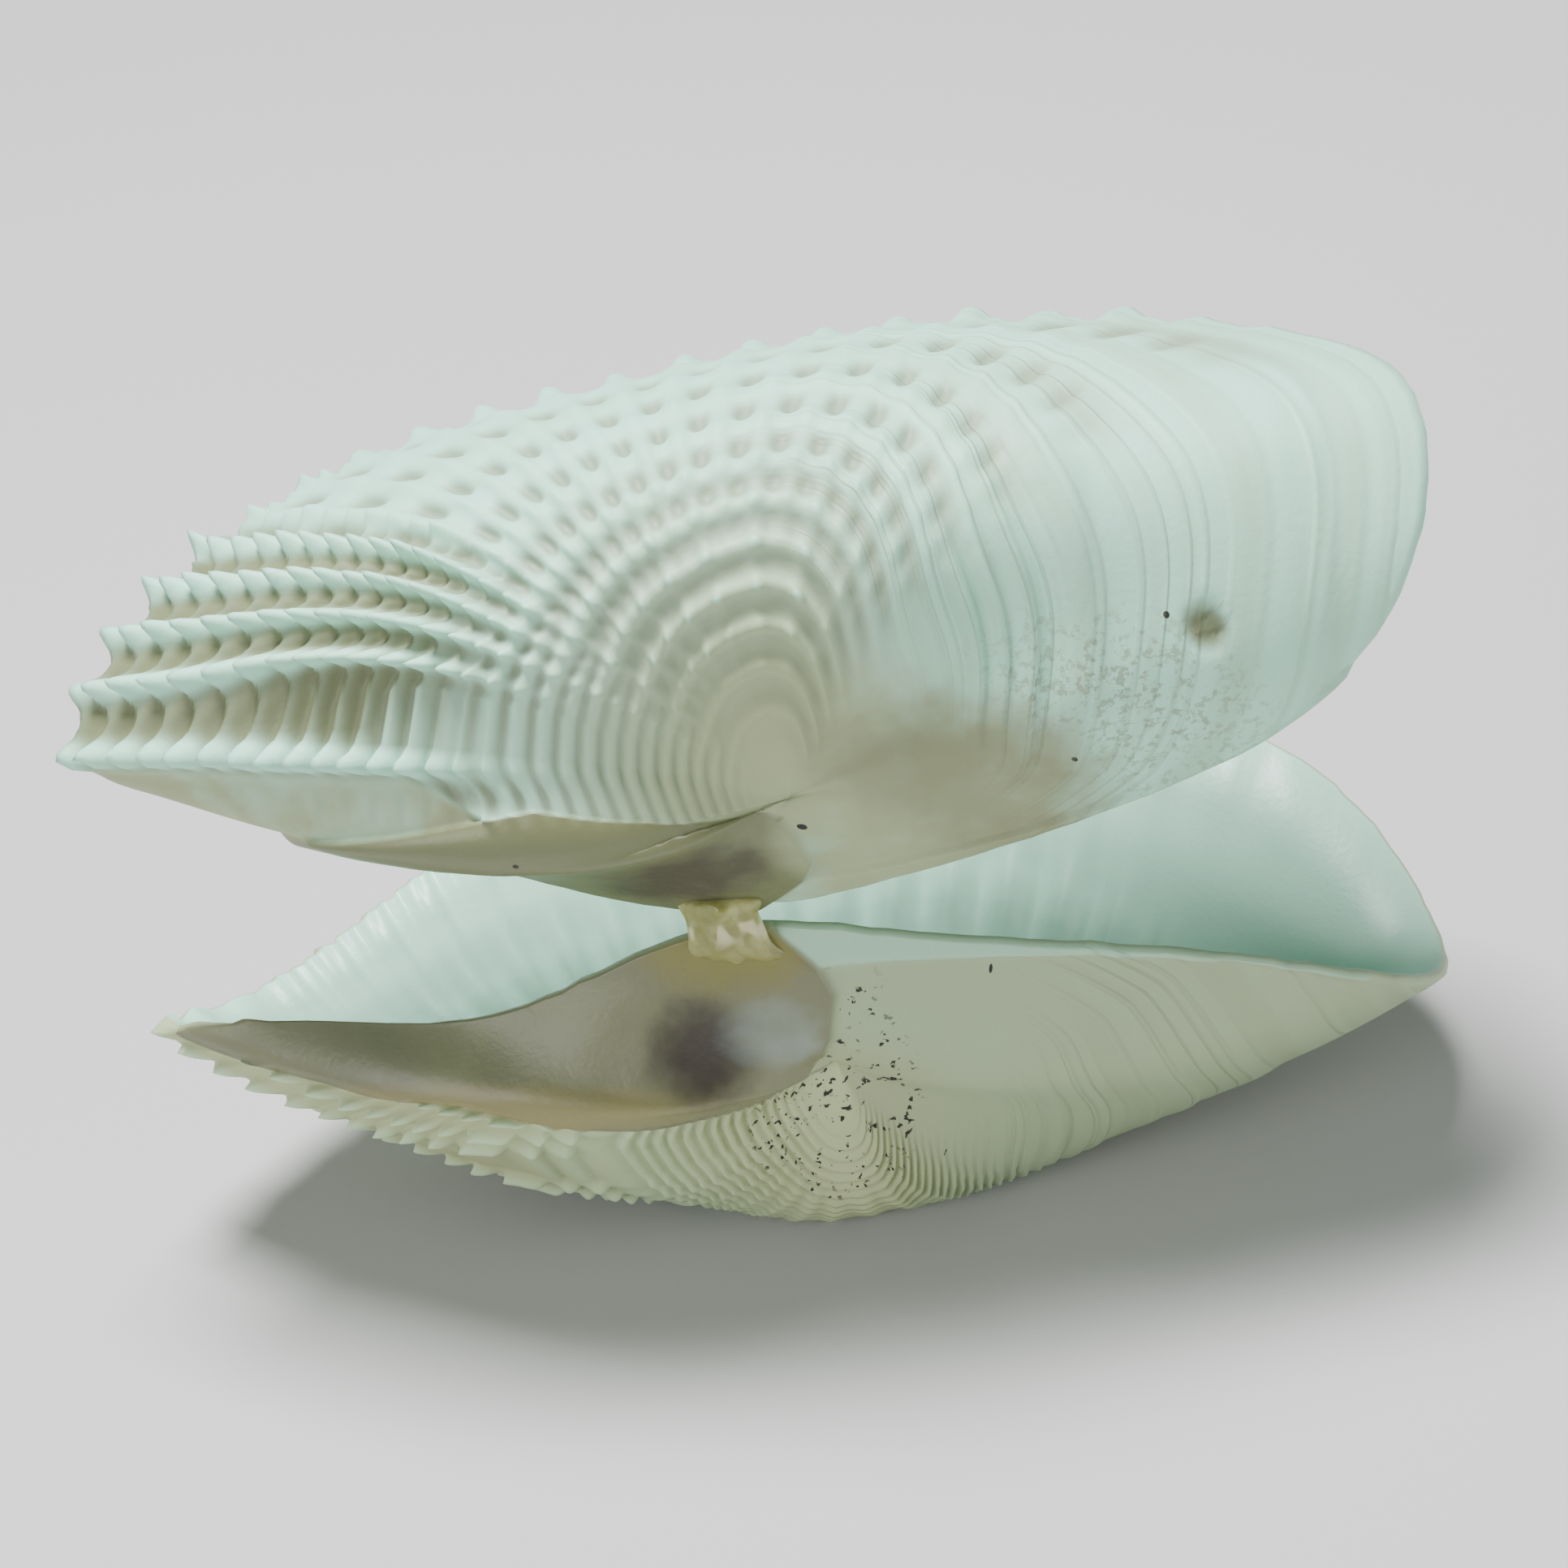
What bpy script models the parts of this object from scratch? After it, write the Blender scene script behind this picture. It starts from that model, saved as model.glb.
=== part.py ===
"""An opened angel-wing (piddock) shell: two thin white valves joined at the hinge by a dried ligament.

The lower (left) valve lies on its belly, the upper (right) valve stands open behind the hinge.
X runs along the hinge, the cut-off hind end at +X and the beaked front end at -X; the hinge faces -Y.
Metres, +Z up; the origin is on the resting face, below the middle of the whole shell.
"""

import math

import bmesh
import bpy
import numpy as np

MM = 0.001

# Edge of one valve in the valve's own frame, mm: x along the hinge, v from the hinge to the far edge,
# w outward from the plane where the valves meet, and how far the wall swells outward on the way there.
EDGE_POINTS = np.array((
    (0.0, 0.0, 0.0, 1.4),       # hinge
    (6.2, 0.8, 0.6, 1.6),
    (17.6, 3.9, 2.6, 2.0),
    (24.1, 7.4, 4.8, 2.6),
    (26.8, 13.2, 6.6, 3.6),     # hind end
    (26.5, 16.9, 6.2, 5.2),
    (24.3, 20.3, 3.2, 7.9),     # hind corner
    (19.5, 22.7, -0.4, 10.5),
    (6.4, 23.1, -0.7, 11.7),    # far edge
    (-3.9, 20.8, 0.5, 11.5),
    (-14.0, 17.5, 1.8, 10.0),
    (-19.0, 13.3, 4.5, 8.1),
    (-22.8, 8.5, 5.8, 6.1),
    (-24.1, 4.7, 5.4, 4.1),     # front tip
    (-20.5, 3.1, 4.7, 2.5),
    (-9.0, 1.0, 3.6, 1.8),
))
ROUND = len(EDGE_POINTS)

# Beak of the valve, mm, from which all growth runs straight out, and how the wall swells along the way
BEAK = np.array((3.5, 2.2, 6.1))
SWELL_RISE = 0.80
SWELL_FALL = 0.92

# The wall beside the hinge is folded forward over it: depth, mm, where along the edge, and how widely
# it fades before and after that place
FOLD_DEPTH = 2.8
FOLD_PLACE = 14.1
FOLD_SPREAD_FRONT = 0.9
FOLD_SPREAD_HINGE = 1.3

# A young shell is short: towards the ends this share of the reach comes late, by a power of the growth
HIND_LATE_SHARE = 0.55
HIND_LATE_POWER = 5.0
FRONT_LATE_SHARE = 0.28
FRONT_LATE_POWER = 3.0

# Sculpture, mm
RIDGES = 12
RIDGE_HEIGHT = 0.30
RIBS = 18
RIB_HEIGHT = 0.34
FRONT_RIB_HEIGHT = 0.90
SPINE_LENGTH = 0.40
FRONT_SPINE_LENGTH = 0.30
PLATE_HEIGHT = 0.40

# Ribs stand closer in front by this share, the foremost are strong ones, and those beside them sweep
# forward by this many rib widths as they near the edge
RIB_CROWDING = 0.14
STRONG_RIBS = 4.6
SWEEP = 1.3

# Places along the edge, counted in the edge points above: 0 at the hinge, 4 at the hind end, 8 at the far
# edge, 13 at the front tip
RIB_ZONE_START = 7.35
RIB_ZONE_END = 13.0
SWEEP_PLACES = (8.5, 10.5, 12.0, 12.9)
PLATE_START = 13.9
PLATE_END = 0.35

# Shares of the growth over which the second set of ribs, the strong ribs and the sweep come and go,
# and up to which the beak is smoother
SECOND_RIBS_FROM = (0.22, 0.50)
STRONG_RIBS_FROM = (0.40, 0.68)
SWEEP_ENDS_OVER = (0.55, 1.0)
BEAK_SMOOTH_TO = 0.25

# Wall, mm
WALL = 0.85
EDGE_WALL = 0.45

# How the two valves lie
LOWER_TILT = math.radians(-19.0)
OPENING = math.radians(56.5)
HINGE_GAP = 1.2
HINGE_HEIGHT = 17.20
HINGE_SHIFT = (-0.89, -9.08)
REST_FACE_DEPTH = 0.4

# Grid of one valve, and the close steps over which slopes are measured
PLAIN_COLUMNS = 22
INNER_RINGS = (0.975, 0.87, 0.70, 0.52, 0.34, 0.16)
REACH_STEP = 0.004
PLACE_STEP = 0.02
INNERMOST = 0.02

# Ligament, mm
LIGAMENT_WIDTH = 3.2
LIGAMENT_DEPTH = 3.4
LIGAMENT_SHIFT = -1.1
LIGAMENT_CLEARANCE = 0.3
LIGAMENT_FLARE_START = -1.0
LIGAMENT_FLARE_UP = 0.7
LIGAMENT_FLARE_DOWN = 1.0


def smoothstep(low, high, value):
    """0 below low, 1 above high, and a smooth S between them."""
    t = np.clip((value - low) / (high - low), 0.0, 1.0)
    return t * t * (3.0 - 2.0 * t)


def edge_curve(place):
    """Closed cubic spline through EDGE_POINTS; place counts the points, and fractions lie between them."""
    points = EDGE_POINTS
    gaps = np.linalg.norm((np.roll(points, -1, 0) - points)[:, :3], axis=1)
    before = np.roll(gaps, 1)
    rows = np.arange(ROUND)
    matrix = np.zeros((ROUND, ROUND))
    matrix[rows, rows] = 2.0 * (before + gaps)
    matrix[rows, rows - 1] = before
    matrix[rows, (rows + 1) % ROUND] = gaps
    slopes = (np.roll(points, -1, 0) - points) / gaps[:, None]
    bends = np.linalg.solve(matrix, 6.0 * (slopes - np.roll(slopes, 1, 0)))
    place = np.mod(place, ROUND)
    k = np.floor(place).astype(int) % ROUND
    after = (place - np.floor(place))[..., None]
    here = 1.0 - after
    span = gaps[k][..., None] ** 2 / 6.0
    nxt = (k + 1) % ROUND
    curve = here * points[k] + after * points[nxt]
    return curve + span * ((here ** 3 - here) * bends[k] + (after ** 3 - after) * bends[nxt])


def arc_lengths():
    """Places and lengths along the edge, mm, at close steps from the hinge once round."""
    places = np.linspace(0.0, ROUND, 1601)
    steps = np.linalg.norm(np.diff(edge_curve(places)[:, :3], axis=0), axis=1)
    return places, np.concatenate(([0.0], np.cumsum(steps)))


ARC_PLACES, ARC_LENGTHS = arc_lengths()
RIB_START_LENGTH, RIB_END_LENGTH = np.interp((RIB_ZONE_START, RIB_ZONE_END), ARC_PLACES, ARC_LENGTHS)


def rib_line(growth, place):
    """Rib count along the curved ribs: whole numbers run along rib crests, 0 at the front tip."""
    here = np.interp(np.mod(place, ROUND), ARC_PLACES, ARC_LENGTHS)
    share = (RIB_END_LENGTH - here) / (RIB_END_LENGTH - RIB_START_LENGTH)
    count = RIBS * (share + RIB_CROWDING * share * (1.0 - share))
    hind, full, still, front = SWEEP_PLACES
    swept = smoothstep(hind, full, place) * (1.0 - smoothstep(still, front, place))
    return count - SWEEP * swept * (1.0 - smoothstep(*SWEEP_ENDS_OVER, growth))


def rib_wave(growth, place):
    """1 on a rib's crest and 0 in a furrow; near the beak every second rib is missing."""
    count = rib_line(growth, place)
    every = 0.5 + 0.5 * np.cos(2.0 * math.pi * count)
    second = 0.5 + 0.5 * np.cos(math.pi * count)
    return second + (every - second) * smoothstep(*SECOND_RIBS_FROM, growth)


def smooth_wall(reach, place):
    """Outer face without sculpture: straight lines from the beak (reach 0) to the edge (reach 1), swollen."""
    edge = edge_curve(place)
    total = SWELL_RISE + SWELL_FALL
    peak = total ** total / (SWELL_RISE ** SWELL_RISE * SWELL_FALL ** SWELL_FALL)
    points = BEAK + (edge[..., :3] - BEAK) * reach[..., None]
    points[..., 2] += edge[..., 3] * peak * reach ** SWELL_RISE * (1.0 - reach) ** SWELL_FALL
    behind = np.mod(place + ROUND / 2, ROUND) + ROUND / 2 - FOLD_PLACE
    spread = np.where(behind > 0.0, FOLD_SPREAD_HINGE, FOLD_SPREAD_FRONT)
    fold = FOLD_DEPTH * np.exp(-(behind / spread) ** 2)
    points[..., 1] -= fold * 4.0 * reach * (1.0 - reach)
    return points


def reach_at(growth, place):
    """Reach of the shell's edge along each rib when it had grown to this share of its full size."""
    across = edge_curve(place)[..., 0] - BEAK[0]
    hind = HIND_LATE_SHARE * smoothstep(0.0, 24.0, across)
    front = FRONT_LATE_SHARE * smoothstep(0.0, 28.0, -across)
    late = hind * (growth - growth ** HIND_LATE_POWER) + front * (growth - growth ** FRONT_LATE_POWER)
    return growth - late


def wall_axes(reach, place):
    """Unit normal of the smooth outer face, and the unit way outwards along it."""
    low = np.clip(reach - REACH_STEP, 0.5 * REACH_STEP, 1.0)
    high = np.clip(reach + REACH_STEP, 0.0, 1.0)
    along = smooth_wall(reach, place + PLACE_STEP) - smooth_wall(reach, place - PLACE_STEP)
    away = smooth_wall(high, place) - smooth_wall(low, place)
    normal = np.cross(away, along)
    normal = normal / np.linalg.norm(normal, axis=-1, keepdims=True)
    return normal, away / np.linalg.norm(away, axis=-1, keepdims=True)


def zones(growth, place):
    """Shares 0 to 1 of the ribbed part and of its strong front ribs."""
    count = rib_line(growth, place)
    ribbed = smoothstep(RIB_ZONE_START - 0.6, RIB_ZONE_START + 0.5, place) * smoothstep(-1.0, -0.3, count)
    strong = 1.0 - smoothstep(STRONG_RIBS - 1.0, STRONG_RIBS + 1.0, count)
    return ribbed, strong


def sculpture(growth, place):
    """Height of ribs, ridges and the folded hinge plate over the smooth outer face, mm."""
    rib = rib_wave(growth, place)
    ridge = 0.5 + 0.5 * np.cos(2.0 * math.pi * RIDGES * growth)
    ribbed, strong = zones(growth, place)
    strong = strong * smoothstep(*STRONG_RIBS_FROM, growth)
    rib_height = RIB_HEIGHT + (FRONT_RIB_HEIGHT - RIB_HEIGHT) * strong
    height = ribbed * rib * rib_height * (0.3 + 0.7 * ridge) * smoothstep(0.05, 0.3, growth)
    height = height + (0.15 + 0.85 * ribbed) * RIDGE_HEIGHT * ridge
    on_plate = (place > PLATE_START) | (place < PLATE_END)
    return np.where(on_plate, PLATE_HEIGHT, height) * smoothstep(0.0, BEAK_SMOOTH_TO, growth)


def outer_face(growth, place):
    """Outer face with its sculpture; rib ends stand past the edge as short spines, flaring outwards."""
    reach = reach_at(growth, place)
    normal, away = wall_axes(reach, place)
    ribbed, strong = zones(growth, place)
    length = SPINE_LENGTH + (FRONT_SPINE_LENGTH - SPINE_LENGTH) * strong
    spine = (growth > 0.999) * ribbed * (2.0 * rib_wave(growth, place) - 1.0) * length
    way = normal + (away - normal) * (0.35 + 0.5 * strong)[..., None]
    return smooth_wall(reach, place) + normal * sculpture(growth, place)[..., None] + way * spine[..., None]


def inner_face(growth, place):
    """Inner face: the smooth wall moved inwards by its thickness, thinner at the edge."""
    reach = reach_at(growth, place)
    thickness = EDGE_WALL + (WALL - EDGE_WALL) * (1.0 - smoothstep(0.55, 1.0, growth))
    return smooth_wall(reach, place) - wall_axes(reach, place)[0] * thickness[..., None]


def column_places(growth):
    """Places of the grid's columns at one growth: one on each rib's crest and furrow, fewer elsewhere.

    The columns follow the curved ribs, so each place is read from rib_line by interpolation.
    """
    close = np.linspace(RIB_ZONE_START, RIB_ZONE_END, 1001)
    wanted = np.linspace(RIBS, 0.0, 2 * RIBS + 1)
    ribs = np.interp(-wanted, -rib_line(growth, close), close)
    plain = np.linspace(RIB_END_LENGTH, RIB_START_LENGTH + ARC_LENGTHS[-1], PLAIN_COLUMNS + 1)[1:-1]
    return np.concatenate((ribs, np.interp(np.mod(plain, ARC_LENGTHS[-1]), ARC_LENGTHS, ARC_PLACES)))


def grid(growths):
    """Growth and place of every crossing of the rings at these growths with the columns."""
    places = np.array([column_places(growth) for growth in growths])
    return np.repeat(np.asarray(growths)[:, None], places.shape[1], axis=1), places


def lower_frame(points):
    """Valve frame to world, for the valve that lies on its belly."""
    c, s = math.cos(LOWER_TILT), math.sin(LOWER_TILT)
    x, v, w = points[..., 0], points[..., 1], points[..., 2]
    y = v * c + w * s + HINGE_SHIFT[1]
    z = v * s - w * c + HINGE_HEIGHT
    return np.stack((x + HINGE_SHIFT[0], y, z), -1)


def upper_frame(points):
    """Valve frame to world, for the valve that stands open."""
    angle = LOWER_TILT + OPENING
    c, s = math.cos(angle), math.sin(angle)
    x, v, w = points[..., 0], points[..., 1], points[..., 2]
    y = v * c - w * s + HINGE_SHIFT[1]
    z = v * s + w * c + HINGE_HEIGHT + HINGE_GAP
    return np.stack((x + HINGE_SHIFT[0], y, z), -1)


def valve_material(name, colour):
    """Chalky white shell."""
    material = bpy.data.materials.new(name)
    material.use_nodes = True
    shader = material.node_tree.nodes["Principled BSDF"]
    shader.inputs["Base Color"].default_value = colour
    shader.inputs["Roughness"].default_value = 0.5
    return material


def new_object(name, bm, material, collection):
    """Puts a finished bmesh in the scene as a named object."""
    bmesh.ops.recalc_face_normals(bm, faces=bm.faces)
    mesh = bpy.data.meshes.new(name)
    bm.to_mesh(mesh)
    bm.free()
    mesh.shade_smooth()
    mesh.materials.append(material)
    thing = bpy.data.objects.new(name, mesh)
    collection.objects.link(thing)
    return thing


def make_valve(name, to_world, colour, collection, rest_face):
    """One valve from a sphere: its northern rings lie on the outer face, its southern rings inside."""
    growth, place = grid(np.arange(1, 2 * RIDGES + 1) / (2.0 * RIDGES))
    outer = outer_face(growth, place)
    rings = np.concatenate((outer, inner_face(*grid(INNER_RINGS))))
    columns = rings.shape[1]
    beak_inside = inner_face(*grid((INNERMOST,))).mean((0, 1))
    bm = bmesh.new()
    bmesh.ops.create_uvsphere(bm, u_segments=columns, v_segments=len(rings) + 1, radius=1.0)
    world = to_world(rings) * MM
    if rest_face:
        smooth = smooth_wall(reach_at(growth, place), place)
        worn = to_world(smooth)[..., 2] < REST_FACE_DEPTH
        height = world[:len(outer), :, 2]
        world[:len(outer), :, 2] = np.where(worn, 0.0, np.maximum(height, 0.0))
    north = to_world(outer[0].mean(0)) * MM
    south = to_world(beak_inside) * MM
    for vert in bm.verts:
        x, y, z = vert.co
        polar = math.acos(max(-1.0, min(1.0, z)))
        ring = round(polar / math.pi * (len(rings) + 1))
        if ring == 0:
            vert.co = north
        elif ring == len(rings) + 1:
            vert.co = south
        else:
            column = round(math.atan2(y, x) / (2.0 * math.pi) * columns) % columns
            vert.co = world[ring - 1, column]
    bmesh.ops.triangulate(bm, faces=bm.faces)
    return new_object(name, bm, valve_material(name, colour), collection)


def make_ligament(collection):
    """Dried neck of tissue: thin between the two edges, and thicker in front of them, up and down."""
    bm = bmesh.new()
    bmesh.ops.create_uvsphere(bm, u_segments=16, v_segments=8, radius=1.0)
    centre = (upper_frame(np.zeros(3)) + lower_frame(np.zeros(3))) / 2.0
    half_gap = HINGE_GAP / 2.0 - LIGAMENT_CLEARANCE
    for vert in bm.verts:
        x, y, z = vert.co
        forward = y * LIGAMENT_DEPTH / 2.0 + LIGAMENT_SHIFT
        flare = LIGAMENT_FLARE_UP if z > 0.0 else LIGAMENT_FLARE_DOWN
        height = half_gap + flare * max(0.0, LIGAMENT_FLARE_START - forward)
        vert.co = (
            (centre[0] + x * LIGAMENT_WIDTH / 2.0) * MM,
            (centre[1] + forward) * MM,
            (centre[2] + z * height) * MM,
        )
    return new_object("ligament", bm, valve_material("ligament", (0.26, 0.24, 0.11, 1.0)), collection)


def build():
    """The whole shell."""
    for thing in list(bpy.data.objects):
        bpy.data.objects.remove(thing)
    collection = bpy.data.collections.new("angel_wing_shell")
    bpy.context.scene.collection.children.link(collection)
    make_valve("left_valve", lower_frame, (0.62, 0.66, 0.56, 1.0), collection, True)
    make_valve("right_valve", upper_frame, (0.66, 0.72, 0.62, 1.0), collection, False)
    make_ligament(collection)


build()
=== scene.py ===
"""Looks of an opened angel-wing (piddock) shell: two chalky valves with ribs, scales and growth lines."""
import math
from collections import namedtuple

import bpy
import numpy as np
from mathutils import Matrix, Vector


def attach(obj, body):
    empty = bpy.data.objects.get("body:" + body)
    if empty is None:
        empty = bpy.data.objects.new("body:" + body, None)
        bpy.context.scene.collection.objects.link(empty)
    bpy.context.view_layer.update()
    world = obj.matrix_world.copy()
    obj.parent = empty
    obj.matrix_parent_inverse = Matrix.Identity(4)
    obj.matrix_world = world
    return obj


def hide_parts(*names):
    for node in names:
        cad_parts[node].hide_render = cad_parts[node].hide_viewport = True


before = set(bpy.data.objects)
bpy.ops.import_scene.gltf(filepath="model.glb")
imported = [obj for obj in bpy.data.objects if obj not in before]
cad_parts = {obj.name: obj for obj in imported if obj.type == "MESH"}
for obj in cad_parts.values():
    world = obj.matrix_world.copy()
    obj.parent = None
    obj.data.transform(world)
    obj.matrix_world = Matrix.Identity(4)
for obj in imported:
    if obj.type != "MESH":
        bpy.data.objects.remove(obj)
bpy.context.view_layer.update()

MM = 0.001

# Edge of one valve in its own frame, mm: x along the hinge, v from hinge to far edge, w outward from the
# plane where the valves meet, and how far the wall swells outward on the way there. A place is a position
# along this edge, counted in these points; growth is 0 at the beak and 1 at the edge
EDGE_POINTS = np.array((
    (0.0, 0.0, 0.0, 1.4),       # hinge
    (6.2, 0.8, 0.6, 1.6),
    (17.6, 3.9, 2.6, 2.0),
    (24.1, 7.4, 4.8, 2.6),
    (26.8, 13.2, 6.6, 3.6),     # hind end
    (26.5, 16.9, 6.2, 5.2),
    (24.3, 20.3, 3.2, 7.9),     # hind corner
    (19.5, 22.7, -0.4, 10.5),
    (6.4, 23.1, -0.7, 11.7),    # far edge
    (-3.9, 20.8, 0.5, 11.5),
    (-14.0, 17.5, 1.8, 10.0),
    (-19.0, 13.3, 4.5, 8.1),
    (-22.8, 8.5, 5.8, 6.1),
    (-24.1, 4.7, 5.4, 4.1),     # front tip
    (-20.5, 3.1, 4.7, 2.5),
    (-9.0, 1.0, 3.6, 1.8),
))
ROUND = len(EDGE_POINTS)
BEAK = np.array((3.5, 2.2, 6.1))
SWELL_RISE = 0.80
SWELL_FALL = 0.92
EDGE_STEPS = 1600
FOLD_DEPTH = 2.8
FOLD_PLACE = 14.1
FOLD_SPREAD_FRONT = 0.9
FOLD_SPREAD_HINGE = 1.3

# A young shell is short: towards the ends this share of the reach comes late, by a power of the growth
HIND_LATE_SHARE = 0.55
HIND_LATE_POWER = 5.0
FRONT_LATE_SHARE = 0.28
FRONT_LATE_POWER = 3.0
HIND_REACH = 24.0
FRONT_REACH = 28.0

# Ribs, counted from the front tip backwards; pairs say from where to where something fades in or out,
# in places, in ribs or in growth
RIBS = 18
RIB_CROWDING = 0.14
RIB_ZONE_START = 7.35
RIB_ZONE_END = 13.0
RIB_ZONE_FADE = (6.15, 7.85)
SWEEP = 1.3
SWEEP_PLACES = (8.5, 10.5, 12.0, 12.9)
SWEEP_ENDS_OVER = (0.55, 1.0)
SECOND_RIBS_FROM = (0.22, 0.50)
STRONG_RIBS_TO = (3.6, 5.6)
STRONG_RIBS_FROM = (0.40, 0.68)
LOBE_RIB = -0.10
LOBE_RIB_FADE = 0.35
YOUNG_LOBE_RIBS = 1.5
YOUNG_LOBE_UNTIL = (0.42, 0.62)
LOWER_LOBE_RIBS = 2.5

# Rings of growth, counted from the beak to the edge
EARLY_RIDGES = 5.0
LATE_RIDGES = 8.0
EARLY_UNTIL = 0.4
DOUBLED_TO_RIB = (0.5, 5.0)
SCALES = 29.0
LAMELLAE = 38.8
LAMELLA_POWER = 0.70
LAMELLAE_FROM_RIB = (4.0, 7.0)
LAMELLAE_FADE = (0.75, 1.0)
GROWN_OVER = (0.20, 0.85)
BEAK_SMOOTH_TO = (0.02, 0.13)
BEADS_FROM = (0.10, 0.26)
CORDS_FADE = (5.4, 7.8)
FRONT_HALF = 10.0
RING_WOBBLE = 0.05
RING_SAG = (0.05, 0.17)
WOBBLE_FROM = (0.20, 0.50)
WOBBLE_SPREAD = 5.0
SCALE_WOBBLE = 2.4
LAMELLA_WOBBLE = 2.0
NOISE_RINGS = 20.0

# Heights of the sculpture, mm, and powers of its profiles; pairs go from young to grown shell, or from a
# furrow to a crest
CORD_HEIGHT = 0.46
YOUNG_CORDS = 0.62
DOUBLED_CORDS_LESS = 0.25
CORD_SKEW = 0.06
CORD_LEAN = 0.06
FURROW_POWER = (1.3, 2.4)
FURROW_FILLED = (0.30, 0.92)
FILL_POWER = (1.0, 2.2)
BEAD_HEIGHT = 0.18
BEAD_UNEVEN = 0.15
BEAD_SPREAD = 2.2
RIB_HEIGHT = 0.05
LAMELLA_HEIGHT = 0.24
LAMELLA_RIB_HEIGHT = (0.042, 0.14)
FRONT_RIB_HEIGHT = 0.30
SCALE_HEIGHT = 0.62
SCALE_LEAN = 0.55
LOWER_SCALES = 0.55
LOWER_SCALE_LEAN = 0.50
CREST_POWER = (1.9, 3.0)
RUNG_HEIGHT = 0.20
GAP_DEPTH = 0.08
FINE_PITS = 0.5
RUNG_PITS = 0.4

# Growth lines of the plain hind part: height in mm, spacing in hundredths of the growth, and noise seed
AGE_STEPS = 100.0
GROWTH_LINES = ((0.05, 6.0, 3), (0.025, 2.4, 4))
LINE_DRIFT = 0.4
LINE_DRIFT_SPREAD = 4.0
LINE_DRIFT_RINGS = 6.0
AGE_DRIFT = 4.0
AGE_DRIFT_SPREAD = 31.0
HALTS = 12
HALT_HEIGHT = 0.27
LOWER_LINES = 0.4
LEDGE_LINES = 0.15
HINGE_AGE_LAG = 0.40
HINGE_AGE_PLACES = 4.0
LINED_FROM = (8.0, 15.0)
LINED_OFFSET = 4.0
LINED_TO_PLACE = (7.0, 9.0)

# Ledge along the hind hinge side
LEDGE_WIDTH = 1.2
LEDGE_WIDEST = 0.5
LEDGE_TAPER = 0.9
LEDGE_BEGINS = (0.25, 0.35)
LEDGE_ENDS = 3.0
LEDGE_STEP = (0.75, 1.0)
LEDGE_HEIGHT = 0.24

# Spines at the edge, mm: on the middle and front ribs, small ones between them, and close rows beside them
SPINE_LENGTH = (0.50, 0.30)
SPINE_POWER = 2.5
SECOND_SPINE_LENGTH = 0.20
SECOND_SPINE_SHIFT = 0.3
SECOND_SPINE_POWER = 3
CLOSE_SPINE_LENGTH = 0.34
CLOSE_SPINES_FROM = (2.2, 3.4)
CLOSE_SPINES_TO = (6.0, 7.5)
SPINES_UNEVEN = 0.3
SPINES_SPREAD = 1.7
FRONT_SPINES_FROM = (10.3, 11.6)
TIP_PLACES = (11.8, 12.8)
SPINES_FORWARD = (0.35, 1.00)
SPINES_OUTWARD = (0.90, 0.25)
SPINE_RIDGE = 0.3
CHIP_DEPTH = 0.05
CHIP_SPREAD = 0.6

# Wall and inner face, mm
WALL = 0.80
EDGE_WALL = 0.38
THINNEST_WALL = 0.20
THICK_TO_EDGE = (0.55, 1.0)
BEAK_WALL = 0.02
WALL_GAIN = (0.35, 3.0)
WALL_GAIN_SQUARE = 1.2
RIBBED_SIDE_FROM = (2.0, 4.0)
RIBBED_SIDE_TO = (12.0, 13.0)
RIM_ROUND = 0.12
INNER_POLE_DEPTH = np.array((0.0, -0.02, 0.03))
INNER_RIB_DEPTH = 0.50
INNER_RIBS_FROM = (0.3, 0.7)
INNER_RIB_SHARE = (0.9, 0.5)
DIMPLES = (0.1, 1.0)
INNER_HALT_DEPTH = 0.40
INNER_HALT_SPACING = 14.0
INNER_AGE_DRIFT = 5.0
INNER_AGE_SPREAD = 26.0
INNER_HALTS_FROM = (0.35, 0.60)
INNER_HALTS_TO = (0.72, 0.93)
INNER_HALTS_LATER = 0.12
INNER_HALTS_LATER_FROM = (3.0, 5.0)
BOWL_FROM = (0.5, 3.0)
BOWL_TO = (7.0, 10.0)

# The folded hinge plate: growth shares, and the places where it begins in front and ends behind the hinge
UPPER_PLATE = ((0.0, 0.12, 0.27, 0.44, 0.57, 0.75, 1.0), (14.50, 14.20, 13.73, 13.46, 13.61, 13.86, 14.30))
LOWER_PLATE = ((0.0, 0.10, 0.15, 0.31, 0.73, 0.88, 1.0), (14.50, 14.20, 13.40, 13.91, 14.10, 13.85, 13.30))
PLATE_HIND = (
    (0.0, 0.08, 0.14, 0.25, 0.45, 0.72, 0.84, 1.0),
    (14.80, 15.00, 15.90, 16.45, 16.64, 16.70, 16.60, 16.30),
)
PLATE_FROM = (0.05, 0.12)
PLATE_HEIGHT = 0.38
PLATE_RISE = (0.05, 0.45)
PLATE_UNEVEN = 0.03
PLATE_UNEVEN_SPREAD = 3.0
PLATE_STEP = 0.35
PLATE_SOFTER = 3.5
PLATE_LENGTHS = (2.5, 12.0)

# Worn pit on the upper valve, mm in the valve's frame
PIT_PLACE = (19.0, 7.7)
PIT_RADIUS = 0.75
PIT_DEPTH = 0.30
PIT_ROUGH = 0.4
PIT_GRAIN = 0.6

# How the two valves lie
LOWER_TILT = math.radians(-19.0)
OPENING = math.radians(56.5)
HINGE_GAP = 1.2
HINGE_HEIGHT = 17.20
HINGE_SHIFT = (-0.89, -9.08)

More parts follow.
